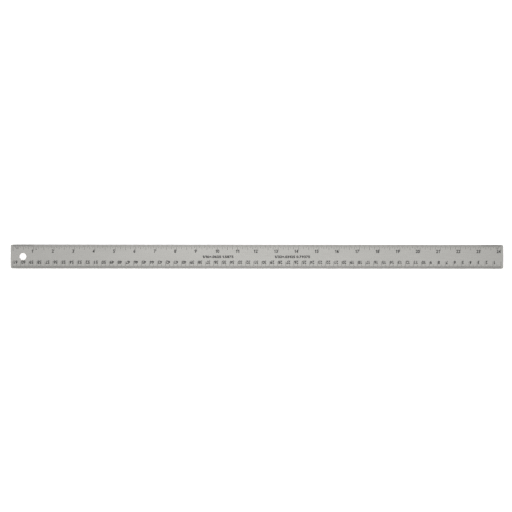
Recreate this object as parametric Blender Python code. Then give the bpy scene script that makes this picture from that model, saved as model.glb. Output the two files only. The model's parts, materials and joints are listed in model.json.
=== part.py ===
"""Cork backed steel ruler, 24 inches and 61 centimetres long, with a hanging hole at one end.

The ruler lies flat on its cork with its graduated face up. The origin is under the middle of the
ruler, on the cork's lower face. +X runs along the blade from the hanging hole's end to the other
end, +Y points across it to the inch edge, and +Z points up. All lengths are in metres.

From below it is a strip of composition cork, a film of adhesive and a blade of stainless steel.
Inches are etched along one long edge of the blade and millimetres along the other, counted from
the opposite end. Each mark is a shallow V groove that runs out through the edge, lined in black.
"""

import math

import bmesh
import bpy
from mathutils import Matrix, Vector

# Scales etched on the blade. The first and the last inch are divided more finely than the rest.
INCH_SPACING = 0.0254
MILLIMETRE_SPACING = 0.001
SCALE_INCHES = 24
FINEST_PARTS_OF_AN_INCH = 32
MILLIMETRES_IN_A_CENTIMETRE = 10

# Steel blade
BLADE_WIDTH = 0.030
BLADE_THICKNESS = 0.0008
BLADE_CORNER_RADIUS = 0.002
EDGE_BREAK = 0.0001
END_MARGIN = 0.003175
HOLE_DIAMETER = 0.0087
HOLE_FROM_END = 0.0153

# Etched marks, each measured inwards from the edge that it starts on
MARK_WIDTH = 0.00025
MARK_DEPTH = 0.00008
INCH_MARK = 0.0080
HALF_INCH_MARK = 0.0068
QUARTER_INCH_MARK = 0.0057
EIGHTH_INCH_MARK = 0.0045
SIXTEENTH_INCH_MARK = 0.0032
FINEST_INCH_MARK = 0.0020
CENTIMETRE_MARK = 0.0090
HALF_CENTIMETRE_MARK = 0.0050
MILLIMETRE_MARK = 0.0034

# Adhesive film, set in from the outline of the cork
FILM_THICKNESS = 0.00013
FILM_INSET = 0.0004

# Cork strip, set in from the outline of the blade
CORK_THICKNESS = 0.0012
CORK_SIDE_INSET = 0.003
CORK_END_INSET = 0.004
CORK_CORNER_RADIUS = 0.0015
CORK_HOLE_CLEARANCE = 0.0012

# Gap left between two bonded faces
BOND_GAP = 0.00002

# Steps in which an arc is drawn
CORNER_STEPS = 5
HOLE_STEPS = 32

# Two points this share of the thickness apart are one
WELD_SHARE = 0.001

# A three-sided prism of radius 1 has its ridge at 1 from its axis. This is its width at the axis.
PRISM_WIDTH_SHARE = 2 / 3 ** 0.5

# Linear colours
STEEL_COLOUR = (0.47, 0.46, 0.44)
ENAMEL_COLOUR = (0.02, 0.02, 0.02)
FILM_COLOUR = (0.72, 0.66, 0.50)
CORK_COLOUR = (0.44, 0.25, 0.12)

# Places along and across the ruler that follow from the sizes above
SCALE_LENGTH = SCALE_INCHES * INCH_SPACING
BLADE_LENGTH = SCALE_LENGTH + 2 * END_MARGIN
HOLE_X = HOLE_FROM_END - BLADE_LENGTH / 2
HOLE_RADIUS = HOLE_DIAMETER / 2

CORK_LENGTH = BLADE_LENGTH - 2 * CORK_END_INSET
CORK_WIDTH = BLADE_WIDTH - 2 * CORK_SIDE_INSET
CORK_HOLE_RADIUS = HOLE_RADIUS + CORK_HOLE_CLEARANCE

FILM_LENGTH = CORK_LENGTH - 2 * FILM_INSET
FILM_WIDTH = CORK_WIDTH - 2 * FILM_INSET
FILM_HOLE_RADIUS = CORK_HOLE_RADIUS + FILM_INSET

# Heights from the cork's lower face up
FILM_BOTTOM = CORK_THICKNESS + BOND_GAP
BLADE_BOTTOM = FILM_BOTTOM + FILM_THICKNESS + BOND_GAP
BLADE_TOP = BLADE_BOTTOM + BLADE_THICKNESS

# Each rank of inch marks: how many equal parts of an inch it counts, and how long its marks are
INCH_RANKS = (
    (1, INCH_MARK),
    (2, HALF_INCH_MARK),
    (4, QUARTER_INCH_MARK),
    (8, EIGHTH_INCH_MARK),
    (16, SIXTEENTH_INCH_MARK),
    (FINEST_PARTS_OF_AN_INCH, FINEST_INCH_MARK),
)

# The metric scale ends on the last whole centimetre that leaves half of the end margin free
CENTIMETRE = MILLIMETRES_IN_A_CENTIMETRE * MILLIMETRE_SPACING
SCALE_CENTIMETRES = int((SCALE_LENGTH + END_MARGIN / 2) / CENTIMETRE)


def clear_scene():
    """Remove every object, so that only the ruler is left in the file."""
    for item in list(bpy.data.objects):
        bpy.data.objects.remove(item, do_unlink=True)


def new_collection(name):
    """Return a new collection linked to the scene."""
    collection = bpy.data.collections.new(name)
    bpy.context.scene.collection.children.link(collection)
    return collection


def new_material(name, colour, roughness, metallic):
    """Return a plain material with one colour."""
    material = bpy.data.materials.new(name)
    material.use_nodes = True
    shader = material.node_tree.nodes["Principled BSDF"]
    shader.inputs["Base Color"].default_value = (*colour, 1.0)
    shader.inputs["Roughness"].default_value = roughness
    shader.inputs["Metallic"].default_value = metallic
    material.diffuse_color = (*colour, 1.0)
    return material


def arc_points(centre, radius, start, sweep, steps):
    """Return the points of an arc, both ends included."""
    points = []
    for step in range(steps + 1):
        angle = start + sweep * step / steps
        points.append(centre + radius * Vector((math.cos(angle), math.sin(angle))))
    return points


def rounded_rectangle(length, width, radius):
    """Return a rectangle round the origin with an arc at each corner, counterclockwise."""
    reach_x = length / 2 - radius
    reach_y = width / 2 - radius
    quarter = math.pi / 2
    points = []
    for turn, (side_x, side_y) in enumerate(((1, 1), (-1, 1), (-1, -1), (1, -1))):
        centre = Vector((side_x * reach_x, side_y * reach_y))
        points += arc_points(centre, radius, turn * quarter, quarter, CORNER_STEPS)
    return points


def hanging_hole(radius):
    """Return a circle round the hanging hole's centre, clockwise, so that it fills as a hole."""
    points = arc_points(Vector((HOLE_X, 0)), radius, 0, -2 * math.pi, HOLE_STEPS)
    return points[:-1]


def flat_sheet(name, outlines, bottom, thickness, edge_break, material, collection):
    """Make a flat sheet from closed outlines, with its lower face at the height bottom."""
    curve = bpy.data.curves.new(name, "CURVE")
    curve.dimensions = "2D"
    curve.fill_mode = "BOTH"
    curve.extrude = thickness / 2 - edge_break
    curve.bevel_depth = edge_break
    curve.bevel_resolution = 0
    curve.offset = -edge_break
    for outline in outlines:
        spline = curve.splines.new("POLY")
        spline.points.add(len(outline) - 1)
        spline.use_cyclic_u = True
        for point, place in zip(spline.points, outline):
            point.co = place.to_4d()
    curve.materials.append(material)
    sheet = bpy.data.objects.new(name, curve)
    sheet.location.z = bottom + thickness / 2
    collection.objects.link(sheet)
    return sheet


def as_solid(sheet, weld_distance, collection):
    """Replace a sheet's curve object with a closed mesh object of the same name and place."""
    bpy.context.view_layer.update()
    name = sheet.name
    place = sheet.matrix_world.copy()
    evaluated = sheet.evaluated_get(bpy.context.evaluated_depsgraph_get())
    mesh = bpy.data.meshes.new_from_object(evaluated)
    bpy.data.objects.remove(sheet, do_unlink=True)
    model = bmesh.new()
    model.from_mesh(mesh)
    bmesh.ops.remove_doubles(model, verts=model.verts, dist=weld_distance)
    model.to_mesh(mesh)
    model.free()
    mesh.name = name
    solid = bpy.data.objects.new(name, mesh)
    solid.matrix_world = place
    collection.objects.link(solid)
    return solid


def inch_marks():
    """Yield the x and the length of each mark on the inch edge."""
    last_inch = (SCALE_INCHES - 1) * FINEST_PARTS_OF_AN_INCH
    for step in range(SCALE_INCHES * FINEST_PARTS_OF_AN_INCH + 1):
        for parts, length in INCH_RANKS:
            if step * parts % FINEST_PARTS_OF_AN_INCH == 0:
                break
        is_finest = parts == FINEST_PARTS_OF_AN_INCH
        if is_finest and FINEST_PARTS_OF_AN_INCH < step < last_inch:
            continue
        yield step * INCH_SPACING / FINEST_PARTS_OF_AN_INCH - SCALE_LENGTH / 2, length


def millimetre_marks():
    """Yield the x and the length of each mark on the metric edge, which counts from the +X end."""
    for step in range(SCALE_CENTIMETRES * MILLIMETRES_IN_A_CENTIMETRE + 1):
        length = MILLIMETRE_MARK
        if step % MILLIMETRES_IN_A_CENTIMETRE == 0:
            length = CENTIMETRE_MARK
        elif step * 2 % MILLIMETRES_IN_A_CENTIMETRE == 0:
            length = HALF_CENTIMETRE_MARK
        yield SCALE_LENGTH / 2 - step * MILLIMETRE_SPACING, length


def add_groove(model, x, side, length):
    """Add a prism that lies across the edge on the side +1 or -1, with its ridge in the steel.

    The prism overruns the edge by a mark's width.
    """
    reach = length + MARK_WIDTH
    middle = side * (BLADE_WIDTH / 2 - length + reach / 2)
    place = Matrix.Translation((x, middle, BLADE_TOP))
    size = Matrix.Diagonal((MARK_WIDTH / PRISM_WIDTH_SHARE, reach, MARK_DEPTH, 1))
    ridge_down = Matrix.Rotation(-math.pi / 2, 4, "X")
    bmesh.ops.create_cone(
        model,
        cap_ends=True,
        segments=3,
        radius1=1,
        radius2=1,
        depth=1,
        matrix=place @ size @ ridge_down,
    )


def make_mark_cutter(collection):
    """Make one object that holds the cutting prisms of all the marks, in black enamel."""
    model = bmesh.new()
    for x, length in inch_marks():
        add_groove(model, x, 1, length)
    for x, length in millimetre_marks():
        add_groove(model, x, -1, length)
    mesh = bpy.data.meshes.new("mark_cutter")
    model.to_mesh(mesh)
    model.free()
    mesh.materials.append(new_material("black_enamel", ENAMEL_COLOUR, 0.45, 0.0))
    cutter = bpy.data.objects.new("mark_cutter", mesh)
    cutter.hide_render = True
    cutter.display_type = "WIRE"
    collection.objects.link(cutter)
    return cutter


def make_steel_blade(collection, cutter):
    """Make the blade with its edges broken, and etch the marks, which keep the cutter's enamel."""
    outlines = [
        rounded_rectangle(BLADE_LENGTH, BLADE_WIDTH, BLADE_CORNER_RADIUS),
        hanging_hole(HOLE_RADIUS),
    ]
    steel = new_material("satin_stainless_steel", STEEL_COLOUR, 0.38, 1.0)
    sheet = flat_sheet(
        "steel_blade", outlines, BLADE_BOTTOM, BLADE_THICKNESS, EDGE_BREAK, steel, collection
    )
    blade = as_solid(sheet, BLADE_THICKNESS * WELD_SHARE, collection)
    etching = blade.modifiers.new("etched_marks", "BOOLEAN")
    etching.operation = "DIFFERENCE"
    etching.solver = "EXACT"
    etching.material_mode = "TRANSFER"
    etching.object = cutter


def make_adhesive_film(collection):
    """Make the film that bonds the cork to the blade."""
    outlines = [
        rounded_rectangle(FILM_LENGTH, FILM_WIDTH, CORK_CORNER_RADIUS),
        hanging_hole(FILM_HOLE_RADIUS),
    ]
    adhesive = new_material("clear_adhesive", FILM_COLOUR, 0.50, 0.0)
    flat_sheet("adhesive_film", outlines, FILM_BOTTOM, FILM_THICKNESS, 0, adhesive, collection)


def make_cork_strip(collection):
    """Make the strip that the ruler lies on. Its hole clears the hanging hole."""
    outlines = [
        rounded_rectangle(CORK_LENGTH, CORK_WIDTH, CORK_CORNER_RADIUS),
        hanging_hole(CORK_HOLE_RADIUS),
    ]
    cork = new_material("composition_cork", CORK_COLOUR, 0.90, 0.0)
    flat_sheet("cork_strip", outlines, 0, CORK_THICKNESS, 0, cork, collection)


def build_ruler():
    """Build the three pieces of the ruler from the blade down."""
    clear_scene()
    ruler = new_collection("cork_backed_steel_ruler")
    cutters = new_collection("ruler_cutters")
    make_steel_blade(ruler, make_mark_cutter(cutters))
    make_adhesive_film(ruler)
    make_cork_strip(ruler)


build_ruler()
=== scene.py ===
# %% [markdown]
# # A cork backed steel ruler: its finish
#
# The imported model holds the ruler's three layers at their real size: a steel blade with a groove for
# every mark, a film of adhesive under it, and a strip of cork under that. This notebook gives the
# layers their finish. It fills the grooves with enamel, sets the figures beside them, remakes the
# cork with its grain, and lays the ruler in a plain studio.
#
# All sizes are in metres. +X runs along the blade from the hanging hole's end, +Y runs across it to
# the inch edge, and +Z points up out of the face that carries the marks.

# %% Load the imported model
import json
import math
from collections import Counter

import bmesh
import bpy
from mathutils import Matrix, Vector
from mathutils.kdtree import KDTree

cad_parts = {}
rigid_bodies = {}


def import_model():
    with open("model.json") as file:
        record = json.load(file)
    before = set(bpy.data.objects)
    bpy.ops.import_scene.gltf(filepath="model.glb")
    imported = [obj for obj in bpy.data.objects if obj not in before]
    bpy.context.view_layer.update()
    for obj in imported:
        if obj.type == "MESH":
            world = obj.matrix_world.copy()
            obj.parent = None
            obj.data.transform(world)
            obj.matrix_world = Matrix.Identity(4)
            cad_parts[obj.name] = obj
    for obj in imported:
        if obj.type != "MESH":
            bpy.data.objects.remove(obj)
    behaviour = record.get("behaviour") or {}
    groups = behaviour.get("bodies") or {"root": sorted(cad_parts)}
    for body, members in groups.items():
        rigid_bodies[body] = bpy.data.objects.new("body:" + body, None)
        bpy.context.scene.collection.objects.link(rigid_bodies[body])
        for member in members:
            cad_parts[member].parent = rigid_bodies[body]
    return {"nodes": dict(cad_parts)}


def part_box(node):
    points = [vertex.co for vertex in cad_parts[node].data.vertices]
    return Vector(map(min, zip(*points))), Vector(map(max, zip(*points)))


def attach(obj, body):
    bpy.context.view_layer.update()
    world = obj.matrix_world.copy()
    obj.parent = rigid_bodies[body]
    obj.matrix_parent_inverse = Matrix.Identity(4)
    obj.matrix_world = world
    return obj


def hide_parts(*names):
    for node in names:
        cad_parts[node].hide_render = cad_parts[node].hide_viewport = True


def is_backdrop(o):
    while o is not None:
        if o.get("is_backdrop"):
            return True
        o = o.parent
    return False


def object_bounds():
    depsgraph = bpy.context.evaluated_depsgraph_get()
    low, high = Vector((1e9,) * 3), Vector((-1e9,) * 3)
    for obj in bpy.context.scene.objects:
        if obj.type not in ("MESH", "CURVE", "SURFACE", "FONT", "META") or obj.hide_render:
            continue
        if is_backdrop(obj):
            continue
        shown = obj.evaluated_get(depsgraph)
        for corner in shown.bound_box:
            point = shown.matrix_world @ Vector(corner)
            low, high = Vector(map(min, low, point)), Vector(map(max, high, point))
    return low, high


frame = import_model()
cad_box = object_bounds()
blade = frame["nodes"]["steel_blade"]
film = frame["nodes"]["adhesive_film"]
plain_cork = frame["nodes"]["cork_strip"]
print("layers:", ", ".join(sorted(frame["nodes"])))

# %% [markdown]
# ## Measure what the finish has to fit
#
# The enamel must end where the steel ends, so the blade's face and edge are measured on the packed
# model and not typed again. The sizes of a mark are the ones that its groove was cut with. Heights
# that differ by less than a hair count as the same.

# %% Measure the blade
blade_low, blade_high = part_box("steel_blade")
FACE_Z = blade_high.z
EDGE_Y = blade_high.y
EDGE_BREAK = 0.0001
MARK_WIDTH = 0.00025
MARK_DEPTH = 0.00008
HAIR = 0.000001
print(f"blade {1000 * (blade_high.x - blade_low.x):.1f} x {2000 * EDGE_Y:.1f} mm")

# %% [markdown]
# ## Helpers for node trees
#
# Materials and Geometry Nodes are both trees of nodes, and in a script each node takes several lines:
# make it, set its options, fill its inputs and link it. One helper does all four. An input is given
# as a number to set it, or as another node's output to link it. Three shorter helpers stand for the
# nodes that are used most: arithmetic, and vectors put together and taken apart.

# %% Add and wire a node
def add_node(tree, kind, inputs=None, **options):
    """Add a node, set its options, then set or link each input that is given by name or number."""
    node = tree.nodes.new(kind)
    for option, choice in options.items():
        setattr(node, option, choice)
    for key, given in (inputs or {}).items():
        if isinstance(given, bpy.types.NodeSocket):
            tree.links.new(given, node.inputs[key])
        else:
            node.inputs[key].default_value = given
    return node


def calculate(tree, operation, *values):
    """Return the result of a Math node on these values."""
    inputs = dict(enumerate(values))
    return add_node(tree, "ShaderNodeMath", inputs, operation=operation).outputs["Value"]


def vector(tree, x=0.0, y=0.0, z=0.0):
    """Return the vector that these three values make."""
    return add_node(tree, "ShaderNodeCombineXYZ", {"X": x, "Y": y, "Z": z}).outputs["Vector"]


def split(tree, given):
    """Return a vector's three values, by the names X, Y and Z."""
    return add_node(tree, "ShaderNodeSeparateXYZ", {"Vector": given}).outputs


# %% [markdown]
# ## Helpers for finishes
#
# Almost every finish here starts from noise of a known size: brush lines that are long and thin,
# crumbs of cork that are round. Object coordinates are in metres, and a Mapping node set to Texture
# divides them by its scale, so its scale is simply the size of the features along x, y and z.

# %% Start a finish and give it grain
def new_finish(name):
    """Return a new material, its tree, its shader node and its texture coordinates."""
    material = bpy.data.materials.new(name)
    material.use_nodes = True
    tree = material.node_tree
    coordinates = add_node(tree, "ShaderNodeTexCoord").outputs
    return material, tree, tree.nodes["Principled BSDF"], coordinates


def grain(tree, place, size, detail=2.0, turn=0.0):
    """Return noise from 0 to 1 with features of this size, turned about z by an angle in radians."""
    inputs = {"Vector": place, "Rotation": (0, 0, turn), "Scale": size}
    placed = add_node(tree, "ShaderNodeMapping", inputs, vector_type="TEXTURE").outputs["Vector"]
    inputs = {"Vector": placed, "Scale": 1.0, "Detail": detail}
    return add_node(tree, "ShaderNodeTexNoise", inputs).outputs["Fac"]


def spread(tree, value, low, high, start=0.3, end=0.7):
    """Return a value that goes from low to high while the given one goes from start to end."""
    inputs = {"Value": value, "From Min": start, "From Max": end, "To Min": low, "To Max": high}
    return add_node(tree, "ShaderNodeMapRange", inputs).outputs["Result"]


def blend(tree, share, first, second):
    """Return a colour that goes from the first to the second as the share goes from 0 to 1."""
    inputs = {0: share, 6: first, 7: second}
    return add_node(tree, "ShaderNodeMix", inputs, data_type="RGBA").outputs[2]


def relief(tree, shader, height, distance):
    """Give a shader a bump whose height from 0 to 1 stands for this distance in metres."""
    inputs = {"Height": height, "Distance": distance}
    bump = add_node(tree, "ShaderNodeBump", inputs)
    tree.links.new(bump.outputs["Normal"], shader.inputs["Normal"])


# %% [markdown]
# ## Satin stainless steel
#
# The blade comes off a roll that was brushed along its length, so its face shows long thin lines and
# a soft reflection with no sharp image in it. The brush lines could be an image, but noise stretched
# to 20 mm by 0.12 mm never repeats and stays sharp at any distance. It drives the colour a little,
# the roughness more, and a bump of about a micrometre. From further away the lines run together into
# streaks a millimetre wide, and a rolled sheet is cloudy as well, so both have a noise of their own.

# %% Brush lines on the steel
BRUSH_LINE = (0.020, 0.00012, 0.001)
FINE_LINE = (0.006, 0.00004, 0.001)
STREAK = (0.016, 0.0011, 0.1)
MILL_CLOUD = (0.070, 0.012, 0.1)

steel, steel_tree, steel_shader, steel_place = new_finish("satin_stainless_steel")
brush = grain(steel_tree, steel_place["Object"], BRUSH_LINE, detail=3)
fine_brush = grain(steel_tree, steel_place["Object"], FINE_LINE)
streaks = grain(steel_tree, steel_place["Object"], STREAK)
cloud = grain(steel_tree, steel_place["Object"], MILL_CLOUD, detail=3)


def weigh(tree, *parts):
    """Return the sum of some values, each multiplied by its weight."""
    total = 0.0
    for value, weight in parts:
        total = calculate(tree, "MULTIPLY_ADD", value, weight, total)
    return total


lines = weigh(steel_tree, (brush, 0.65), (fine_brush, 0.35))
tone = weigh(steel_tree, (lines, 0.35), (streaks, 0.35), (cloud, 0.30))
print("nodes for the brushing:", len(steel_tree.nodes))

# %% [markdown]
# A ruler that slides over others picks up stray hairline scratches that cross the brushing at a
# slant. Only the highest peaks of a slanted noise are kept, so they are few. The broken edges and the
# walls of the hole were rubbed bright: their faces are the ones whose normal doesn't point along z.

# %% Scratches, bright edges, and the steel's shader
SCRATCH = (0.016, 0.00007, 0.001)
SCRATCH_SLANT = math.radians(14)
SCRATCH_PEAKS = {"start": 0.70, "end": 0.78}
SCRATCH_SHINE = 0.5
SCRATCH_DEPTH = 0.6
FACE_NORMAL = 0.95
DARKER_STEEL = (0.450, 0.443, 0.422, 1)
PALER_STEEL = (0.510, 0.503, 0.481, 1)
RUBBED_STEEL = (0.52, 0.51, 0.49, 1)
BRUSHED_ROUGHNESS = (0.24, 0.32)
SMOOTHER_WHEN_RUBBED = 0.10
BRUSH_RELIEF = 0.0000012

slanted = grain(steel_tree, steel_place["Object"], SCRATCH, turn=SCRATCH_SLANT)
scratches = spread(steel_tree, slanted, 0.0, 1.0, **SCRATCH_PEAKS)
facing_z = calculate(steel_tree, "ABSOLUTE", split(steel_tree, steel_place["Normal"])["Z"])
edges = calculate(steel_tree, "LESS_THAN", facing_z, FACE_NORMAL)

colour = blend(steel_tree, spread(steel_tree, tone, 0, 1), DARKER_STEEL, PALER_STEEL)
shiny_scratches = calculate(steel_tree, "MULTIPLY", scratches, SCRATCH_SHINE)
rubbed = calculate(steel_tree, "MAXIMUM", edges, shiny_scratches)
colour = blend(steel_tree, rubbed, colour, RUBBED_STEEL)
brushed = spread(steel_tree, lines, *BRUSHED_ROUGHNESS)
smoothed = calculate(steel_tree, "MULTIPLY", edges, SMOOTHER_WHEN_RUBBED)
roughness = calculate(steel_tree, "SUBTRACT", brushed, smoothed)
steel_tree.links.new(colour, steel_shader.inputs["Base Color"])
steel_tree.links.new(roughness, steel_shader.inputs["Roughness"])
steel_shader.inputs["Metallic"].default_value = 1.0
cut_by_scratches = calculate(steel_tree, "MULTIPLY", scratches, SCRATCH_DEPTH)
height = calculate(steel_tree, "SUBTRACT", lines, cut_by_scratches)
relief(steel_tree, steel_shader, height, BRUSH_RELIEF)
blade.data.materials.clear()
blade.data.materials.append(steel)
print("steel nodes:", len(steel_tree.nodes))

# %% [markdown]
# ## Clear adhesive
#
# The film that bonds the cork shows only as a thin pale line round the cork, and round the hole. It
# is a cured contact adhesive: amber, a little cloudy, and wavy where the roller spread it.

# %% The film's finish
SPREAD_MARK = (0.0030, 0.0006, 0.0006)
CURED_LUMP = (0.00035, 0.00035, 0.00035)
DEEP_AMBER = (0.62, 0.53, 0.36, 1)
PALE_AMBER = (0.78, 0.71, 0.54, 1)
FILM_ROUGHNESS = (0.38, 0.60)
LUMP_RELIEF = 0.00003

adhesive, film_tree, film_shader, film_place = new_finish("amber_adhesive")
spread_marks = grain(film_tree, film_place["Object"], SPREAD_MARK)
lumps = grain(film_tree, film_place["Object"], CURED_LUMP, detail=3)
amber = blend(film_tree, spread(film_tree, spread_marks, 0, 1), DEEP_AMBER, PALE_AMBER)
film_tree.links.new(amber, film_shader.inputs["Base Color"])
film_tree.links.new(spread(film_tree, lumps, *FILM_ROUGHNESS), film_shader.inputs["Roughness"])
relief(film_tree, film_shader, lumps, LUMP_RELIEF)
film.data.materials.clear()
film.data.materials.append(adhesive)
print("film nodes:", len(film_tree.nodes))

# %% [markdown]
# ## Black enamel
#
# The marks and figures are filled with a matt black baking enamel. It is never quite even: it dries
# with a fine orange peel, and wiping the blade leaves it greyer in places. Its specular level is set
# low on the shader, because a groove that is 0.25 mm wide mirrors no lamp.

# %% The enamel's finish
ORANGE_PEEL = (0.00009, 0.00009, 0.00009)
WIPED_PATCH = (0.0040, 0.0012, 0.001)
FULL_BLACK = (0.010, 0.010, 0.011, 1)
WORN_BLACK = (0.024, 0.023, 0.022, 1)
ENAMEL_ROUGHNESS = (0.42, 0.62)
ENAMEL_SPECULAR = 0.25
PEEL_RELIEF = 0.000002

enamel, enamel_tree, enamel_shader, enamel_place = new_finish("black_enamel")
peel = grain(enamel_tree, enamel_place["Object"], ORANGE_PEEL)
wiped = grain(enamel_tree, enamel_place["Object"], WIPED_PATCH, detail=3)
black = blend(enamel_tree, spread(enamel_tree, wiped, 0, 1), FULL_BLACK, WORN_BLACK)
enamel_tree.links.new(black, enamel_shader.inputs["Base Color"])
dullness = spread(enamel_tree, wiped, *ENAMEL_ROUGHNESS)
enamel_tree.links.new(dullness, enamel_shader.inputs["Roughness"])
enamel_shader.inputs["Specular IOR Level"].default_value = ENAMEL_SPECULAR
relief(enamel_tree, enamel_shader, peel, PEEL_RELIEF)
print("enamel nodes:", len(enamel_tree.nodes))

# %% [markdown]
# ## How the repeated pieces are made
#
# A ruler has over a thousand marks and a hundred and fifty figures, and all of them follow a rule.
# Geometry Nodes write that rule down once, with named inputs for its sizes. A tree is started by one
# helper and ended by another, and a third runs it on an empty mesh, keeps the result as a plain mesh,
# and takes the modifier off. A modifier knows its inputs by identifier, so the names are looked up.

# %% Start a tree and grow a piece from it
def new_rule(name, sockets):
    """Return a new tree with these named inputs, the outputs of its input node, and its end node."""
    tree = bpy.data.node_groups.new(name, "GeometryNodeTree")
    for label, kind in sockets.items():
        tree.interface.new_socket(label, in_out="INPUT", socket_type="NodeSocket" + kind)
    tree.interface.new_socket("Geometry", in_out="OUTPUT", socket_type="NodeSocketGeometry")
    given = tree.nodes.new("NodeGroupInput").outputs
    return tree, given, tree.nodes.new("NodeGroupOutput")


def grow(name, tree, values):
    """Run a tree with these values, keep its result as a plain mesh, and return the object."""
    piece = bpy.data.objects.new(name, bpy.data.meshes.new(name))
    bpy.context.scene.collection.objects.link(piece)
    growth = piece.modifiers.new("growth", "NODES")
    growth.node_group = tree
    for socket in tree.interface.items_tree:
        if socket.name in values:
            growth[socket.identifier] = values[socket.name]
    evaluated = piece.evaluated_get(bpy.context.evaluated_depsgraph_get())
    mesh = bpy.data.meshes.new_from_object(evaluated)
    piece.modifiers.remove(growth)
    piece.data = mesh
    mesh.name = name
    mesh.calc_loop_triangles()
    print(f"{name}: {len(mesh.loop_triangles)} triangles")
    return piece


def even_row(tree, count, start, step):
    """Return a row of points along x: this many, from the start, a step apart."""
    inputs = {"Count": count, "Start Location": start, "Offset": vector(tree, x=step)}
    return add_node(tree, "GeometryNodeMeshLine", inputs).outputs["Mesh"]


def finish_tree(tree, end, geometry, turn, material):
    """End a tree: make instances real, turn them about z and give them their material."""
    real = add_node(tree, "GeometryNodeRealizeInstances", {"Geometry": geometry}).outputs["Geometry"]
    inputs = {"Geometry": real, "Rotation": vector(tree, z=turn)}
    turned = add_node(tree, "GeometryNodeTransform", inputs).outputs["Geometry"]
    inputs = {"Geometry": turned, "Material": material}
    coated = add_node(tree, "GeometryNodeSetMaterial", inputs)
    tree.links.new(coated.outputs["Geometry"], end.inputs["Geometry"])


# %% [markdown]
# ## Enamel in the marks
#
# Each mark is a V groove in the steel, 0.08 mm deep. The enamel fills it, and a little clings to the
# lip on either side when the blade is wiped, so a mark looks a trace wider than its groove. One bar
# with that section stands for all marks. It is 1 long, so scaling it along y by a mark's length gives
# that mark.

# %% The bar of enamel for one mark
ENAMEL_RIM = 0.00004
ENAMEL_PROUD = 0.000003


def make_enamel_bar():
    """Return a bar from y = -1 to y = 0 that fills a groove from its ridge and laps over its lips."""
    half = MARK_WIDTH / 2 + ENAMEL_RIM
    section = ((-half, ENAMEL_PROUD), (0, -MARK_DEPTH), (half, ENAMEL_PROUD))
    points = [(x, y, z) for y in (-1, 0) for x, z in section]
    faces = [(0, 2, 5, 3), (0, 3, 4, 1), (1, 4, 5, 2), (0, 1, 2), (3, 5, 4)]
    mesh = bpy.data.meshes.new("enamel_bar")
    mesh.from_pydata(points, [], faces)
    return bpy.data.objects.new("enamel_bar", mesh)


enamel_bar = make_enamel_bar()
print("faces on the bar:", len(enamel_bar.data.polygons))

# %% [markdown]
# ## The rule of a scale
#
# Read with its edge at the top, each scale is a row of equal steps from left to right. The rank of a
# step decides its mark's length: on the inch edge every 32nd step is an inch, every 16th a half inch,
# and so on. The tree starts with the shortest length and lets each longer rank overrule it. The
# shortest marks of the inch edge stand only in its first and last inch, so a step needs to be near an
# end or to belong to a longer rank.

# %% Give each step the length of its rank
COUNT_TOLERANCE = 0.5


def ranked_lengths(tree, given, ranks):
    """Return each step's length of mark, and a 1 where the step has a mark."""
    index = add_node(tree, "GeometryNodeInputIndex").outputs["Index"]
    steps_left = calculate(tree, "SUBTRACT", given["Steps"], index)
    to_nearer_end = calculate(tree, "MINIMUM", index, steps_left)
    far = calculate(tree, "GREATER_THAN", to_nearer_end, given["Steps with finest marks"])
    shown = calculate(tree, "SUBTRACT", 1, far)
    length = given["Shortest mark"]
    for steps, label in ranks:
        left_over = calculate(tree, "MODULO", index, steps)
        in_rank = calculate(tree, "COMPARE", left_over, 0, COUNT_TOLERANCE)
        shown = calculate(tree, "MAXIMUM", shown, in_rank)
        inputs = {"Switch": in_rank, "False": length, "True": given[label]}
        length = add_node(tree, "GeometryNodeSwitch", inputs, input_type="FLOAT").outputs["Output"]
    return length, shown


# %% [markdown]
# The bars start on the blade's outline, but the blade's edge is broken: it slopes down at 45 degrees
# over its last tenth of a millimetre. A cloth that wipes the blade leaves the enamel level with that
# slope. So once the bars are real, their outer ends are pulled back to it, all of them in one step.

# %% Pull the outer ends back to the broken edge
def wiped_ends(tree, given, bars):
    """Return the bars with no point beyond the slope of the broken edge."""
    now = split(tree, add_node(tree, "GeometryNodeInputPosition").outputs["Position"])
    first = split(tree, given["First mark"])
    depth = calculate(tree, "SUBTRACT", first["Z"], now["Z"])
    slope_foot = calculate(tree, "SUBTRACT", first["Y"], given["Edge break"])
    slope = calculate(tree, "ADD", slope_foot, depth)
    trimmed = calculate(tree, "MINIMUM", now["Y"], slope)
    place = vector(tree, now["X"], trimmed, now["Z"])
    inputs = {"Geometry": bars, "Position": place}
    return add_node(tree, "GeometryNodeSetPosition", inputs).outputs["Geometry"]


# %% [markdown]
# The tree itself is now short: a point for each step, a bar on each point that has a mark, stretched
# to its length, and the ends wiped.

# %% Build the rule of a scale
def mark_rule(name, ranks):
    """Return a tree for a row of marks. Ranks are (steps, input label) from the finest up."""
    sockets = {
        "Bar": "Object", "Steps": "Int", "Step": "Float", "First mark": "Vector",
        "Steps with finest marks": "Int", "Edge break": "Float", "Shortest mark": "Float",
        **{label: "Float" for steps, label in ranks}, "Turn": "Float", "Enamel": "Material",
    }
    tree, given, end = new_rule(name, sockets)
    count = calculate(tree, "ADD", given["Steps"], 1)
    row = even_row(tree, count, given["First mark"], given["Step"])
    length, shown = ranked_lengths(tree, given, ranks)
    bar = add_node(tree, "GeometryNodeObjectInfo", {"Object": given["Bar"]}).outputs["Geometry"]
    size = vector(tree, 1, length, 1)
    inputs = {"Points": row, "Selection": shown, "Instance": bar, "Scale": size}
    bars = add_node(tree, "GeometryNodeInstanceOnPoints", inputs).outputs["Instances"]
    real = add_node(tree, "GeometryNodeRealizeInstances", {"Geometry": bars}).outputs["Geometry"]
    wiped_bars = wiped_ends(tree, given, real)
    finish_tree(tree, end, wiped_bars, given["Turn"], given["Enamel"])
    return tree


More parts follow.
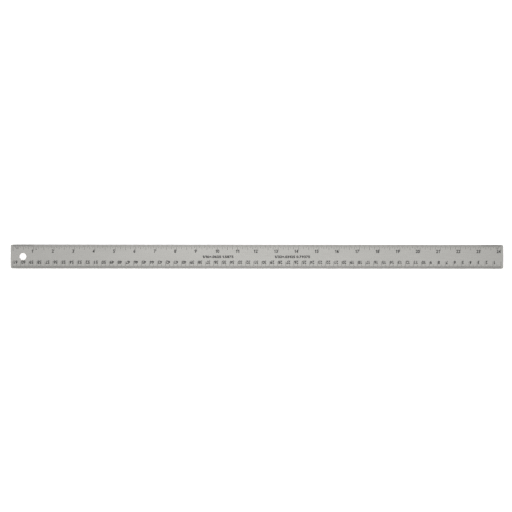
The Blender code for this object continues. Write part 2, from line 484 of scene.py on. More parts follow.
# %% [markdown]
# ## The inch scale and the metric scale
#
# Both rows start 304.8 mm from the middle. The inch row runs from the hanging hole's end. The metric
# row is the same design turned half round, so it starts at the other end and reads from the other
# side of the table.

# %% Fill the inch marks
INCH = 0.0254
INCHES = 24
STEPS_IN_AN_INCH = 32
SCALE_START = Vector((-INCHES * INCH / 2, EDGE_Y, FACE_Z))

inch_rule = mark_rule(
    "inch_marks",
    ((2, "Sixteenth"), (4, "Eighth"), (8, "Quarter"), (16, "Half"), (32, "Inch")),
)
inch_marks = grow("enamel_inch_marks", inch_rule, {
    "Bar": enamel_bar, "Enamel": enamel, "Turn": 0.0, "Edge break": EDGE_BREAK - ENAMEL_PROUD,
    "Steps": INCHES * STEPS_IN_AN_INCH, "Step": INCH / STEPS_IN_AN_INCH, "First mark": SCALE_START,
    "Steps with finest marks": STEPS_IN_AN_INCH, "Shortest mark": 0.0020, "Sixteenth": 0.0032,
    "Eighth": 0.0045, "Quarter": 0.0057, "Half": 0.0068, "Inch": 0.0080,
})

# %% Fill the metric marks
MILLIMETRE = 0.001
CENTIMETRES = 61
STEPS_IN_A_CENTIMETRE = 10
METRIC_STEPS = CENTIMETRES * STEPS_IN_A_CENTIMETRE
HALF_TURN = math.pi

metric_rule = mark_rule("metric_marks", ((5, "Half centimetre"), (10, "Centimetre")))
metric_marks = grow("enamel_metric_marks", metric_rule, {
    "Bar": enamel_bar, "Enamel": enamel, "Turn": HALF_TURN, "Edge break": EDGE_BREAK - ENAMEL_PROUD,
    "Steps": METRIC_STEPS, "Step": MILLIMETRE, "First mark": SCALE_START,
    "Steps with finest marks": METRIC_STEPS, "Shortest mark": 0.0034,
    "Half centimetre": 0.0050, "Centimetre": 0.0090,
})

# %% [markdown]
# ## Check the enamel against the steel
#
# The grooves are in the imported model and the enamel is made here, so the two could drift apart. The
# lowest point at the inner end of every groove is found on the blade, and the nearest point of the
# enamel should be at the same place.

# %% Measure how well the enamel lies in its grooves
NEAR_EDGE = 0.001


def ridge_ends(*pieces):
    """Return the points at the bottom of the grooves or bars that are away from the blade's edge."""
    bottom = FACE_Z - MARK_DEPTH
    points = (vertex.co for piece in pieces for vertex in piece.data.vertices)
    return [co for co in points if abs(co.z - bottom) < HAIR and abs(co.y) < EDGE_Y - NEAR_EDGE]


filled = ridge_ends(inch_marks, metric_marks)
tree_of_ends = KDTree(len(filled))
for number, point in enumerate(filled):
    tree_of_ends.insert(point, number)
tree_of_ends.balance()
misses = [tree_of_ends.find(point)[2] for point in ridge_ends(blade)]
print(f"{len(filled)} bars, the worst {1000000 * max(misses):.2f} micrometres off its groove")

# %% [markdown]
# ## Punches for the figures
#
# The figures are set in plain upright strokes, as an engraving machine cuts them. The program's own
# font has that look, and pushing its outlines outwards makes it bolder. Each sign becomes a punch: a
# thin solid, 1 high, with its middle on x = 0, so that it can stand in the middle of its cell. A bold
# sign would touch its neighbours, so it is squeezed to fit its cell.
#
# A weight says how far the outlines are pushed and how many steps a curve gets. A pushed outline
# folds over itself in the tight corners of a 3 or a 9 if its steps are short, so a bolder weight has
# fewer of them.

# %% Choose the cell and the weights
FONT_FIGURE_SHARE = 0.682
FONT_CELL_SHARE = 0.5
CELL = FONT_CELL_SHARE / FONT_FIGURE_SHARE
WIDEST = 0.95 * CELL
PLAIN = {"push": 0.0, "steps": 6}
BOLD = {"push": 0.042, "steps": 4}
HEAVY = {"push": 0.06, "steps": 3}
print(f"a cell is {CELL:.2f} of a figure's height")

# %% [markdown]
# Two figures are drawn here instead. The font's one is a bare bar, so this one gets a flag. The
# font's four has a sharp-cornered hole that would turn inside out when it is pushed. So the edges of
# this four are worked out from its three strokes: a stem, a bar, and a slope that leans to the right.

# %% Draw the one and the four
ONE_SHARES = (
    (0.296, 0), (0.440, 0), (0.440, 1), (0.340, 1), (0.130, 0.85), (0.130, 0.69), (0.296, 0.80),
)
STROKE_SHARE = 0.13
FOUR_STEM_SHARE = 0.43
FOUR_BAR_SHARE = 0.22
FOUR_REACH_SHARE = 0.66
FOUR_CORNER_SHARE = 0.31
FOUR_LEAN = 0.66


def four_loops(push):
    """Return the outline of a figure four and of the hole in it, each edge pushed outwards."""
    stem_left = FOUR_STEM_SHARE - push
    stem_right = FOUR_STEM_SHARE + STROKE_SHARE + push
    bar_low = FOUR_BAR_SHARE - push
    bar_high = FOUR_BAR_SHARE + STROKE_SHARE + push
    right, top = FOUR_REACH_SHARE + push, 1 + push
    sideways = math.hypot(1, FOUR_LEAN)
    outer_shift = -push * sideways
    inner_shift = (STROKE_SHARE + push) * sideways
    top_left = (top - FOUR_CORNER_SHARE) * FOUR_LEAN + outer_shift
    corner_high = FOUR_CORNER_SHARE - (push + outer_shift) / FOUR_LEAN
    outline = (
        (stem_left, -push), (stem_right, -push), (stem_right, bar_low), (right, bar_low),
        (right, bar_high), (stem_right, bar_high), (stem_right, top), (top_left, top),
        (-push, corner_high), (-push, bar_low), (stem_left, bar_low),
    )
    hole_left = (bar_high - FOUR_CORNER_SHARE) * FOUR_LEAN + inner_shift
    hole_top = FOUR_CORNER_SHARE + (stem_left - inner_shift) / FOUR_LEAN
    hole = ((hole_left, bar_high), (stem_left, bar_high), (stem_left, hole_top))
    return outline, hole


def drawn_curve(loops):
    """Return a flat curve with these closed loops of straight edges."""
    curve = bpy.data.curves.new("drawn_sign", "CURVE")
    curve.dimensions = "2D"
    for loop in loops:
        spline = curve.splines.new("POLY")
        spline.points.add(len(loop) - 1)
        for point, (x, y) in zip(spline.points, loop):
            point.co = (x, y, 0, 1)
        spline.use_cyclic_u = True
    return curve


print("corners of the four and of its hole:", [len(loop) for loop in four_loops(0)])

# %% [markdown]
# A curve that is given a depth has caps and walls that only touch each other. So the mesh made from
# it gets its doubles merged and its faces turned outwards, which makes it one closed solid.

# %% Make a punch from a sign
PUNCH_WELD = 0.0001
HALF_DEPTH = 0.5


def sign_curve(sign, push, steps):
    """Return a flat filled curve of a sign, 1 high, with its outline pushed outwards."""
    if sign == "4":
        curve = drawn_curve(four_loops(push))
    elif sign == "1":
        curve = drawn_curve([ONE_SHARES])
        curve.offset = push
    else:
        curve = bpy.data.curves.new("sign", "FONT")
        curve.body = sign
        curve.size = 1 / FONT_FIGURE_SHARE
        curve.resolution_u = steps
        curve.offset = push
    curve.fill_mode = "BOTH"
    curve.extrude = HALF_DEPTH
    return curve


def punch(sign, push, steps):
    """Return a closed mesh of a sign, 1 high, 1 thick and at most WIDEST wide, centred on x = 0."""
    holder = bpy.data.objects.new("sign", sign_curve(sign, push, steps))
    bpy.context.scene.collection.objects.link(holder)
    evaluated = holder.evaluated_get(bpy.context.evaluated_depsgraph_get())
    mesh = bpy.data.meshes.new_from_object(evaluated)
    bpy.data.objects.remove(holder)
    model = bmesh.new()
    model.from_mesh(mesh)
    bmesh.ops.remove_doubles(model, verts=model.verts, dist=PUNCH_WELD)
    bmesh.ops.recalc_face_normals(model, faces=model.faces)
    reach = [vertex.co.x for vertex in model.verts]
    middle = (min(reach) + max(reach)) / 2
    squeeze = min(1, WIDEST / (max(reach) - min(reach)))
    bmesh.ops.translate(model, verts=model.verts, vec=(-middle, 0, 0))
    bmesh.ops.scale(model, verts=model.verts, vec=(squeeze, 1, 1))
    model.to_mesh(mesh)
    model.free()
    return mesh


# %% [markdown]
# Ten of these punches go into a collection. Geometry Nodes sort a collection by name, so the number
# that picks a punch is the figure on it. A punch whose outline folds over itself would have edges
# that don't join two faces, so those are counted.

# %% Make the ten figure punches
figure_punches = bpy.data.collections.new("figure_punches")
for figure in range(10):
    stamp = bpy.data.objects.new(f"figure_{figure}", punch(str(figure), **BOLD))
    figure_punches.objects.link(stamp)


def open_edges(mesh):
    """Return how many edges of a mesh don't join exactly two faces."""
    uses = Counter(edge for face in mesh.polygons for edge in face.edge_keys)
    return sum(1 for times in uses.values() if times != 2)


print("open edges on them:", sum(open_edges(stamp.data) for stamp in figure_punches.objects))

# %% [markdown]
# ## The rule of the figures
#
# The numbers run 1, 2, 3 and so on, one at each inch or centimetre, and each ends just before its
# mark. The units of a number are what is left over after division by 10, and the tens are the whole
# part of that division. So one row of points carries the units, and the same row moved by one cell
# carries the tens, from 10 on. On this ruler the 10 and the 11 of the inch row stand astride their
# marks, so the rule can shift a few numbers.

# %% Set out the rows that carry the figures
TEN = 10


def units_row(tree, given, number):
    """Return a point for the units of each number, with a few of the numbers shifted."""
    row = even_row(tree, given["Numbers"], given["First figure"], given["Spacing"])
    too_low = calculate(tree, "LESS_THAN", number, given["First shifted"])
    too_high = calculate(tree, "GREATER_THAN", number, given["Last shifted"])
    stays = calculate(tree, "MAXIMUM", too_low, too_high)
    shift = calculate(tree, "MULTIPLY", calculate(tree, "SUBTRACT", 1, stays), given["Shift"])
    inputs = {"Geometry": row, "Offset": vector(tree, x=shift)}
    return add_node(tree, "GeometryNodeSetPosition", inputs).outputs["Geometry"]


def tens_row(tree, given, row):
    """Return the points for the tens: the same row, one cell to the left."""
    one_back = vector(tree, x=calculate(tree, "MULTIPLY", given["Cell"], -1))
    inputs = {"Geometry": row, "Translation": one_back}
    return add_node(tree, "GeometryNodeTransform", inputs).outputs["Geometry"]


# %% [markdown]
# Both rows are stamped from the same collection of punches. Pick Instance takes one punch at each
# point, and the index says which. A selection of nought leaves a point bare, so the numbers up to 9
# get no nought for their tens.

# %% Build the rule of the figures
def figure_rule(name):
    """Return a tree for a row of numbers that count up from 1."""
    sockets = {
        "Punches": "Collection", "Numbers": "Int", "Spacing": "Float", "First figure": "Vector",
        "First shifted": "Int", "Last shifted": "Int", "Shift": "Float", "Height": "Float",
        "Cell": "Float", "Thickness": "Float", "Turn": "Float", "Enamel": "Material",
    }
    tree, given, end = new_rule(name, sockets)
    index = add_node(tree, "GeometryNodeInputIndex").outputs["Index"]
    number = calculate(tree, "ADD", index, 1)
    units = calculate(tree, "MODULO", number, TEN)
    tens = calculate(tree, "FLOOR", calculate(tree, "DIVIDE", number, TEN))
    right_row = units_row(tree, given, number)
    left_row = tens_row(tree, given, right_row)

    inputs = {"Collection": given["Punches"], "Separate Children": True, "Reset Children": True}
    punches = add_node(tree, "GeometryNodeCollectionInfo", inputs).outputs["Instances"]
    width = calculate(tree, "DIVIDE", given["Cell"], CELL)
    size = vector(tree, width, given["Height"], given["Thickness"])
    joined = add_node(tree, "GeometryNodeJoinGeometry")
    for points, figure, shown in ((right_row, units, number), (left_row, tens, tens)):
        inputs = {
            "Points": points, "Selection": shown, "Instance": punches, "Pick Instance": True,
            "Instance Index": figure, "Scale": size,
        }
        signs = add_node(tree, "GeometryNodeInstanceOnPoints", inputs).outputs["Instances"]
        tree.links.new(signs, joined.inputs["Geometry"])
    finish_tree(tree, end, joined.outputs["Geometry"], given["Turn"], given["Enamel"])
    return tree


# %% [markdown]
# One rule serves both scales. The metric numbers are turned half round with their marks. The enamel
# of a figure stands 0.015 mm proud of the steel, and its lower part is sunk into it.

# %% Number both scales
FIGURE_PROUD = 0.000015
FIGURE_THICKNESS = 0.00003
FIGURE_HEIGHT = 0.0038
FIGURE_CELL = 0.0026
INCH_FIGURE_FOOT = 0.0102
METRIC_FIGURE_FOOT = 0.0098
INCH_FIGURE_GAP = 0.0003
METRIC_FIGURE_GAP = 0.0006
ASTRIDE_SHIFT = 0.0030
FIGURE_MIDDLE_Z = FACE_Z + FIGURE_PROUD - FIGURE_THICKNESS / 2

numbering = figure_rule("scale_figures")
figure_sizes = {
    "Punches": figure_punches, "Enamel": enamel, "Height": FIGURE_HEIGHT,
    "Cell": FIGURE_CELL, "Thickness": FIGURE_THICKNESS,
}
first_inch = (
    SCALE_START.x + INCH - INCH_FIGURE_GAP - FIGURE_CELL / 2,
    EDGE_Y - INCH_FIGURE_FOOT,
    FIGURE_MIDDLE_Z,
)
inch_figures = grow("enamel_inch_figures", numbering, {
    **figure_sizes, "Numbers": INCHES, "Spacing": INCH, "First figure": first_inch, "Turn": 0.0,
    "First shifted": 10, "Last shifted": 11, "Shift": ASTRIDE_SHIFT,
})
centimetre = STEPS_IN_A_CENTIMETRE * MILLIMETRE
first_centimetre = (
    SCALE_START.x + centimetre - METRIC_FIGURE_GAP - FIGURE_CELL / 2,
    EDGE_Y - METRIC_FIGURE_FOOT,
    FIGURE_MIDDLE_Z,
)
metric_figures = grow("enamel_metric_figures", numbering, {
    **figure_sizes, "Numbers": CENTIMETRES, "Spacing": centimetre,
    "First figure": first_centimetre, "Turn": HALF_TURN,
    "First shifted": 0, "Last shifted": 0, "Shift": 0.0,
})

# %% [markdown]
# ## Small figures between the marks
#
# Small figures say how many parts an inch is divided into, 32 in the first and last inch and 16
# between them. Two lines of heavy plain figures along the middle of the blade give a sixteenth and a
# thirty-second of an inch as a decimal and in millimetres. There are only a few of these and they
# follow no rule, so each sign is set with a punch of its own, and each group is joined into one mesh.

# %% Set lines of figures with the punches
NARROW_SHARES = {".": 0.42, "1": 0.66, "/": 0.7, " ": 0.5}


def set_line(model, text, centre_x, foot_y, height, cell, weight):
    """Add a line of signs, centred on x, with its foot on y. A narrow sign gets a share of a cell."""
    widths = [cell * NARROW_SHARES.get(sign, 1.0) for sign in text]
    left = centre_x - sum(widths) / 2
    for sign, width in zip(text, widths):
        if sign != " ":
            mesh = punch(sign, **weight)
            move = Matrix.Translation((left + width / 2, foot_y, FIGURE_MIDDLE_Z))
            mesh.transform(move @ Matrix.Diagonal((cell / CELL, height, FIGURE_THICKNESS, 1)))
            model.from_mesh(mesh)
            bpy.data.meshes.remove(mesh)
        left += width


def set_lines(name, lines):
    """Return a piece that holds these lines of signs in black enamel."""
    model = bmesh.new()
    for line in lines:
        set_line(model, *line)
    mesh = bpy.data.meshes.new(name)
    model.to_mesh(mesh)
    model.free()
    mesh.materials.append(enamel)
    piece = bpy.data.objects.new(name, mesh)
    bpy.context.scene.collection.objects.link(piece)
    print(f"{name}: {len(mesh.polygons)} faces, {open_edges(mesh)} open edges")
    return piece


# %% Set the division figures and the decimal lines
SMALL_HEIGHT = 0.0018
SMALL_CELL = 0.0013
BETWEEN_MARKS_FOOT = EDGE_Y - 0.0054
BELOW_MARK_FOOT = EDGE_Y - 0.0067
DECIMAL_HEIGHT = 0.0028
SIXTEENTH_CELL = 0.00276
THIRTY_SECOND_CELL = 0.00271
DECIMAL_FOOT = -0.0016
SIXTEENTH_X = -0.0497
THIRTY_SECOND_X = 0.0433

division_figures = set_lines("enamel_division_figures", (
    ("32", SCALE_START.x + INCH * 3 / 16, BETWEEN_MARKS_FOOT, SMALL_HEIGHT, SMALL_CELL, PLAIN),
    ("16", SCALE_START.x + INCH * 9 / 8, BELOW_MARK_FOOT, SMALL_HEIGHT, SMALL_CELL, PLAIN),
    ("32", -SCALE_START.x - INCH * 3 / 16, BETWEEN_MARKS_FOOT, SMALL_HEIGHT, SMALL_CELL, PLAIN),
))
decimal_figures = set_lines("enamel_decimal_figures", (
    ("1/16=.0625 1.5875", SIXTEENTH_X, DECIMAL_FOOT, DECIMAL_HEIGHT, SIXTEENTH_CELL, HEAVY),
    (
        "1/32=.03125 0.79375",
        THIRTY_SECOND_X, DECIMAL_FOOT, DECIMAL_HEIGHT, THIRTY_SECOND_CELL, HEAVY,
    ),
))

# %% [markdown]
# ## Cork with its grain
#
# Composition cork is crumbs of cork bark pressed with a binder, skived into a sheet and slit to
# width. Its face is flat but never smooth: every crumb bulges a little, and some tore out and left
# pits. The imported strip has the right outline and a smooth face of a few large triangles, which have
# no points to push about. So a finely divided slab is cut to that outline with a Boolean. It is
# divided every 0.6 mm, about half a crumb.

# %% Sizes of the cork
CRUMB = 0.0013
BULGE = 0.00004
PIT = 0.00009
CORK_CELL = 0.0006
CORK_LEVELS = 3
cork_low, cork_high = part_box("cork_strip")
cork_size = cork_high - cork_low
print(f"cork {1000 * cork_size.x:.1f} x {1000 * cork_size.y:.1f} x {1000 * cork_size.z:.1f} mm")


# %% Cut a divided slab to the strip's outline
def cut_slab(tree, given, thickness):
    """Return a finely divided slab on z = 0 that is cut to the given outline."""
    inputs = {
        "Size": given["Size"], "Vertices X": given["Along"], "Vertices Y": given["Across"],
        "Vertices Z": CORK_LEVELS,
    }
    slab = add_node(tree, "GeometryNodeMeshCube", inputs).outputs["Mesh"]
    half_up = vector(tree, z=calculate(tree, "MULTIPLY", thickness, 0.5))
    inputs = {"Geometry": slab, "Translation": half_up}
    lifted = add_node(tree, "GeometryNodeTransform", inputs).outputs["Geometry"]
    outline = add_node(tree, "GeometryNodeObjectInfo", {"Object": given["Outline"]})
    inputs = {"Geometry": outline.outputs["Geometry"], "Distance": HAIR}
    closed = add_node(tree, "GeometryNodeMergeByDistance", inputs).outputs["Geometry"]
    cut = add_node(tree, "GeometryNodeMeshBoolean", operation="INTERSECT", solver="MANIFOLD")
    for solid in (closed, lifted):
        tree.links.new(solid, cut.inputs["Mesh 2"])
    return cut.outputs["Mesh"]


# %% [markdown]
# A Voronoi texture stands in well for pressed crumbs: each of its cells is a rounded block with a
# colour of its own. The distance from a cell's middle makes the face sink towards a crumb's rim. One
# channel of the colour is a number drawn for the cell, and where it is high the crumb is torn out.

# %% Say how far each point sinks
TORN_FROM = 0.93


def crumb_sink(tree, given, here):
    """Return how far a point sinks between crumbs or into a torn one's pit."""
    per_metre = calculate(tree, "DIVIDE", 1, given["Crumb"])
    cells = add_node(tree, "ShaderNodeTexVoronoi", {"Vector": here, "Scale": per_metre}).outputs
    rim = calculate(tree, "MULTIPLY", cells["Distance"], cells["Distance"])
    chance = split(tree, cells["Color"])["X"]
    torn = calculate(tree, "GREATER_THAN", chance, TORN_FROM)
    inner_half = calculate(tree, "SUBTRACT", 1, calculate(tree, "MULTIPLY", rim, 2))
    core = calculate(tree, "MAXIMUM", inner_half, 0)
    pit = calculate(tree, "MULTIPLY", calculate(tree, "MULTIPLY", core, torn), given["Pit"])
    return calculate(tree, "ADD", calculate(tree, "MULTIPLY", rim, given["Bulge"]), pit)


# %% [markdown]
# The points sink along their normals, on the lower face and on the sides alike. The upper face stays
# flat, because it is glued. Gentle bends are shaded smooth and sharp ones stay sharp, so the crumbs
# look round and the strip keeps its cut edges.

# %% Build the rule of the cork
SHARP_BEND = 0.7


def cork_rule():
    """Return a tree that divides a slab, cuts it to an outline and roughens all but its top."""
    sockets = {
        "Outline": "Object", "Size": "Vector", "Along": "Int", "Across": "Int", "Crumb": "Float",
        "Bulge": "Float", "Pit": "Float", "Cork": "Material",
    }
    tree, given, end = new_rule("cork_grain", sockets)
    thickness = split(tree, given["Size"])["Z"]
    slab = cut_slab(tree, given, thickness)
    here = add_node(tree, "GeometryNodeInputPosition").outputs["Position"]
    normal = add_node(tree, "GeometryNodeInputNormal").outputs["Normal"]
    inward = calculate(tree, "MULTIPLY", crumb_sink(tree, given, here), -1)
    shift = add_node(tree, "ShaderNodeVectorMath", {0: normal, "Scale": inward}, operation="SCALE")
    under_glue = calculate(tree, "SUBTRACT", thickness, HAIR)
    below_top = calculate(tree, "LESS_THAN", split(tree, here)["Z"], under_glue)
    inputs = {"Geometry": slab, "Selection": below_top, "Offset": shift.outputs["Vector"]}
    rough = add_node(tree, "GeometryNodeSetPosition", inputs).outputs["Geometry"]

    bend = add_node(tree, "GeometryNodeInputMeshEdgeAngle").outputs["Unsigned Angle"]
    gentle = calculate(tree, "LESS_THAN", bend, SHARP_BEND)
    inputs = {"Geometry": rough, "Shade Smooth": gentle}
    shaded = add_node(tree, "GeometryNodeSetShadeSmooth", inputs, domain="EDGE").outputs["Geometry"]
    finish_tree(tree, end, shaded, 0.0, given["Cork"])
    return tree


# %% [markdown]
# ## The cork's colours
#
# Every crumb has a tone of its own, from honey to brown, and a few are dark bark. The crumbs are the
# same Voronoi cells that shaped the face, read at the same scale, so the colour of a crumb ends where
# its bulge ends. Finer noise gives the open pores inside a crumb.

# %% The cork's finish
BARK_FLECK = 0.0008
BARK_FROM = 0.90
BARK_COVER = 0.75
PORE = (0.00022, 0.00022, 0.00022)
PORE_RELIEF = 0.00006
RIM_SHADE = 0.55
PORE_SHADE = 0.55
DARK_HONEY = (0.36, 0.20, 0.095, 1)
LIGHT_HONEY = (0.56, 0.345, 0.175, 1)
BETWEEN_CRUMBS = (0.20, 0.095, 0.040, 1)
INSIDE_PORE = (0.16, 0.075, 0.032, 1)
DARK_BARK = (0.10, 0.045, 0.022, 1)
CORK_ROUGHNESS = (0.95, 0.80)
CORK_SPECULAR = 0.3

cork, cork_tree, cork_shader, cork_place = new_finish("composition_cork")
inputs = {"Vector": cork_place["Object"], "Scale": 1 / CRUMB}
crumbs = add_node(cork_tree, "ShaderNodeTexVoronoi", inputs).outputs
pores = grain(cork_tree, cork_place["Object"], PORE, detail=3)
inputs = {"Vector": cork_place["Object"], "Scale": 1 / BARK_FLECK}
flecks = add_node(cork_tree, "ShaderNodeTexVoronoi", inputs).outputs
fleck_chance = split(cork_tree, flecks["Color"])["X"]
is_bark = calculate(cork_tree, "GREATER_THAN", fleck_chance, BARK_FROM)

crumb_tone = split(cork_tree, crumbs["Color"])["X"]
honey = blend(cork_tree, crumb_tone, DARK_HONEY, LIGHT_HONEY)
at_rim = spread(cork_tree, crumbs["Distance"], 0, RIM_SHADE, start=0.35, end=0.75)
rimmed = blend(cork_tree, at_rim, honey, BETWEEN_CRUMBS)
in_pore = spread(cork_tree, pores, PORE_SHADE, 0, start=0.30, end=0.48)
pored = blend(cork_tree, in_pore, rimmed, INSIDE_PORE)
under_bark = calculate(cork_tree, "MULTIPLY", is_bark, BARK_COVER)
barked = blend(cork_tree, under_bark, pored, DARK_BARK)
cork_tree.links.new(barked, cork_shader.inputs["Base Color"])
cork_tree.links.new(spread(cork_tree, pores, *CORK_ROUGHNESS), cork_shader.inputs["Roughness"])
cork_shader.inputs["Specular IOR Level"].default_value = CORK_SPECULAR
relief(cork_tree, cork_shader, pores, PORE_RELIEF)
print("cork nodes:", len(cork_tree.nodes))

# %% [markdown]
# Now the strip can be grown. How many points the slab has along and across follows from its size, so
# it is divided alike both ways.

# %% Grow the cork strip
cork_strip = grow("cork_grain", cork_rule(), {
    "Outline": plain_cork, "Size": cork_size, "Along": round(cork_size.x / CORK_CELL) + 1,
    "Across": round(cork_size.y / CORK_CELL) + 1, "Crumb": CRUMB, "Bulge": BULGE, "Pit": PIT,
    "Cork": cork,
})
heights = [vertex.co.z for vertex in cork_strip.data.vertices]
print(f"cork from {1000 * min(heights):.2f} to {1000 * max(heights):.2f} mm")

# %% [markdown]
# The fine grid is there to be pushed about, and on the flat glued face it only costs triangles. So
# that face is taken out and filled again from its rims.

# %% Fill the glued face with larger triangles
def refill_flat_top(mesh):
    """Replace the flat faces at the top of a mesh with as few as reach from rim to rim."""
    model = bmesh.new()
    model.from_mesh(mesh)
    top = max(vertex.co.z for vertex in model.verts)
    flat = {face for face in model.faces if all(top - corner.co.z < HAIR for corner in face.verts)}
    rims = [edge for edge in model.edges if sum(face in flat for face in edge.link_faces) == 1]
    bmesh.ops.delete(model, geom=list(flat), context="FACES")
    bmesh.ops.triangle_fill(model, edges=rims, normal=(0, 0, 1), use_beauty=True)
    model.to_mesh(mesh)
    model.free()
    mesh.calc_loop_triangles()


refill_flat_top(cork_strip.data)
triangles = len(cork_strip.data.loop_triangles)
print(f"cork_grain: {triangles} triangles, {open_edges(cork_strip.data)} open edges")

# %% [markdown]
# ## Tie the pieces to the model
#
# The ruler is one rigid body, so everything rides on it. The grained cork stands for the plain one,
# which is hidden. The punches and the bar have done their work and go.

# %% Tie the pieces to the model
enamel_pieces = (
    inch_marks, metric_marks, inch_figures, metric_figures, division_figures, decimal_figures,
)
for piece in enamel_pieces:
    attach(piece, "root")
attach(cork_strip, "root")
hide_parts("cork_strip")
for stamp in [enamel_bar, *figure_punches.objects]:
    bpy.data.objects.remove(stamp)
bpy.data.collections.remove(figure_punches)
print("pieces on the blade:", ", ".join(piece.name for piece in enamel_pieces))

# %% [markdown]
# ## The camera
#
# The photograph looks straight down. Where the end marks fall in it says how far the camera was for
# a given lens, and the two ends of the ruler differ in scale by a little, so the camera leans by one
# degree towards the hanging hole's end. A hair of roll sets the blade as level as it is there.

# %% Place the camera
DISTANCE = 1.6
AIM = Vector((-0.002301, 0.00081, 0))
LEAN = math.radians(1.0581)
ROLL = math.radians(0.0448)
SENSOR_WIDTH = 36
FOCAL_LENGTH = 89.934

lens = bpy.data.cameras.new("camera")
lens.sensor_width = SENSOR_WIDTH
lens.lens = FOCAL_LENGTH
camera = bpy.data.objects.new("camera", lens)
bpy.context.scene.collection.objects.link(camera)
back = Vector((-math.sin(LEAN), 0, math.cos(LEAN)))
camera.matrix_world = (
    Matrix.Translation(AIM + DISTANCE * back)
    @ Matrix.Rotation(-LEAN, 4, "Y")
    @ Matrix.Rotation(ROLL, 4, "Z")
)
bpy.context.scene.camera = camera
bpy.context.scene.view_settings.view_transform = "Standard"
print(f"the camera looks down from {camera.matrix_world.translation.z:.3f} m")

# %% [markdown]
# ## The floor
#
# The ruler lies on white paper that fills the view. The paper is just short of pure white to the
# light that bounces on it. In what the steel mirrors it counts as plain white, and to the camera as
# brighter still, so it comes out white while the ruler's shadow on it stays, faint and close to the
# edge. It lies 0.02 mm below the cork, so that the two faces don't share a plane.
#
# The cork is worth a look from underneath too, so a ray that meets the paper's back goes through. But
# paper so close under the cork would also keep all light from it. So each ray that meets the front is
# asked how high it started: its length times how squarely it meets the paper, which is 1 less the
# Facing of a Layer Weight node with an even blend. Only rays that leave the cork's lower face start
# so low, and they go through as well.

# %% Lay the floor
FLOOR_HALF = 20.0
FLOOR_DROP = 0.00002
PAPER = (0.88, 0.88, 0.88, 1)
PAPER_IN_STEEL = (1.0, 1.0, 1.0, 1)
PAPER_TO_CAMERA = (2.0, 2.0, 2.0, 1)
NEAR_PAPER = 0.00017
EVEN_BLEND = 0.5

paper = bpy.data.materials.new("white_paper")
paper.use_nodes = True
paper_tree = paper.node_tree
paper_tree.nodes.clear()
rays = add_node(paper_tree, "ShaderNodeLightPath").outputs
mirrored = calculate(paper_tree, "MAXIMUM", rays["Is Glossy Ray"], rays["Is Transmission Ray"])
white = blend(paper_tree, mirrored, PAPER, PAPER_IN_STEEL)
white = blend(paper_tree, rays["Is Camera Ray"], white, PAPER_TO_CAMERA)
matt = add_node(paper_tree, "ShaderNodeBsdfDiffuse", {"Color": white}).outputs["BSDF"]
clear = add_node(paper_tree, "ShaderNodeBsdfTransparent").outputs["BSDF"]
slant = add_node(paper_tree, "ShaderNodeLayerWeight", {"Blend": EVEN_BLEND}).outputs["Facing"]
squareness = calculate(paper_tree, "SUBTRACT", 1, slant)
start_height = calculate(paper_tree, "MULTIPLY", rays["Ray Length"], squareness)
from_cork = calculate(paper_tree, "LESS_THAN", start_height, NEAR_PAPER)
from_below = add_node(paper_tree, "ShaderNodeNewGeometry").outputs["Backfacing"]
goes_through = calculate(paper_tree, "MAXIMUM", from_cork, from_below)
inputs = {0: goes_through, 1: matt, 2: clear}
sheet = add_node(paper_tree, "ShaderNodeMixShader", inputs).outputs["Shader"]
add_node(paper_tree, "ShaderNodeOutputMaterial", {"Surface": sheet})

floor_mesh = bpy.data.meshes.new("floor")
sides = ((-1, -1), (1, -1), (1, 1), (-1, 1))
corners = [(x * FLOOR_HALF, y * FLOOR_HALF, -FLOOR_DROP) for x, y in sides]
floor_mesh.from_pydata(corners, [], [(0, 1, 2, 3)])
floor_mesh.materials.append(paper)
floor = bpy.data.objects.new("floor", floor_mesh)
bpy.context.scene.collection.objects.link(floor)
floor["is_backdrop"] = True
print(f"paper {1000 * FLOOR_DROP:.2f} mm below the cork")

# %% [markdown]
# ## The room
#
# Steel shows what surrounds it, so the room counts as much as the lamps. Its white walls give the
# plain even level at which a colour renders as it is written. Its ceiling, which the blade mirrors,
# is darker, so that the softboxes stand out. No room is built for it: the world's strength follows
# from how far a ray points upwards.

# %% Light the room
WALLS = 1.0
CEILING = 0.68
WALLS_UP_TO = 0.5
CEILING_FROM = 0.95

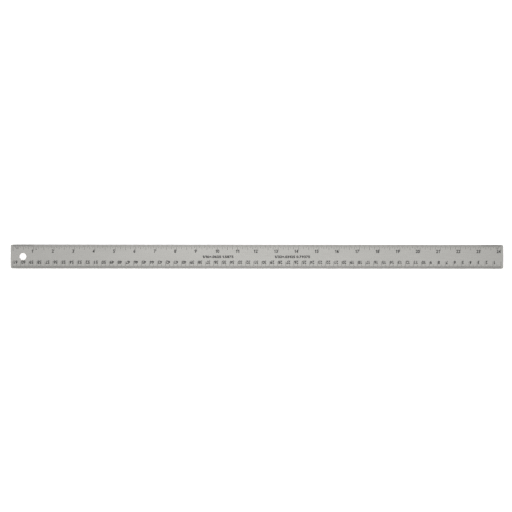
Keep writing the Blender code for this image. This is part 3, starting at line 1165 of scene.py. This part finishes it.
room = bpy.data.worlds.new("white_room")
room.use_nodes = True
bpy.context.scene.world = room
direction = add_node(room.node_tree, "ShaderNodeTexCoord").outputs["Generated"]
upward = split(room.node_tree, direction)["Z"]
level = spread(room.node_tree, upward, WALLS, CEILING, start=WALLS_UP_TO, end=CEILING_FROM)
background = room.node_tree.nodes["Background"].inputs
room.node_tree.links.new(level, background["Strength"])
background["Color"].default_value = (1, 1, 1, 1)
print(f"the ceiling has {CEILING / WALLS:.0%} of the walls' brightness")


# %% [markdown]
# ## The lamps
#
# The photograph's blade is brightest a little to the hanging hole's side of its middle and falls off
# slowly to both ends. So it mirrors two softboxes overhead, a narrow one past the middle and a wide
# weak one on the hole's side. One more lamp from the side gives small steps an edge.
#
# An area lamp is given by its power, but the steel mirrors how bright it looks, which also depends on
# its size. So the helper starts from the brightness and works the power out.

# %% Hang the lamps
def hang_softbox(name, place, width, height, radiance):
    """Hang a softbox of this size and brightness that faces the middle of the ruler."""
    lamp = bpy.data.lights.new(name, "AREA")
    lamp.shape = "RECTANGLE"
    lamp.size = width
    lamp.size_y = height
    lamp.energy = radiance * math.pi * width * height
    holder = bpy.data.objects.new(name, lamp)
    bpy.context.scene.collection.objects.link(holder)
    towards_ruler = Vector(place).to_track_quat("Z", "Y").to_matrix().to_4x4()
    holder.matrix_world = Matrix.Translation(place) @ towards_ruler
    holder.visible_camera = False
    print(f"{name}: {lamp.energy:.2f} W")


hang_softbox("narrow_softbox", place=(0.20, 0.0, 2.4), width=0.30, height=1.2, radiance=0.83)
hang_softbox("wide_softbox", place=(-0.40, 0.0, 2.4), width=0.60, height=1.2, radiance=0.22)
hang_softbox("side_softbox", place=(-1.2, 1.6, 2.2), width=1.0, height=1.0, radiance=1.6)

# %% [markdown]
# ## Print the sizes
#
# The finish should leave the ruler its size, and only the figures stand a hair proud. So the box of
# the imported model and the box of the dressed one are printed, one under the other.

# %% Print the sizes
for low, high in (cad_box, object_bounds()):
    print("box:", [round(1000 * span, 3) for span in high - low], "mm")
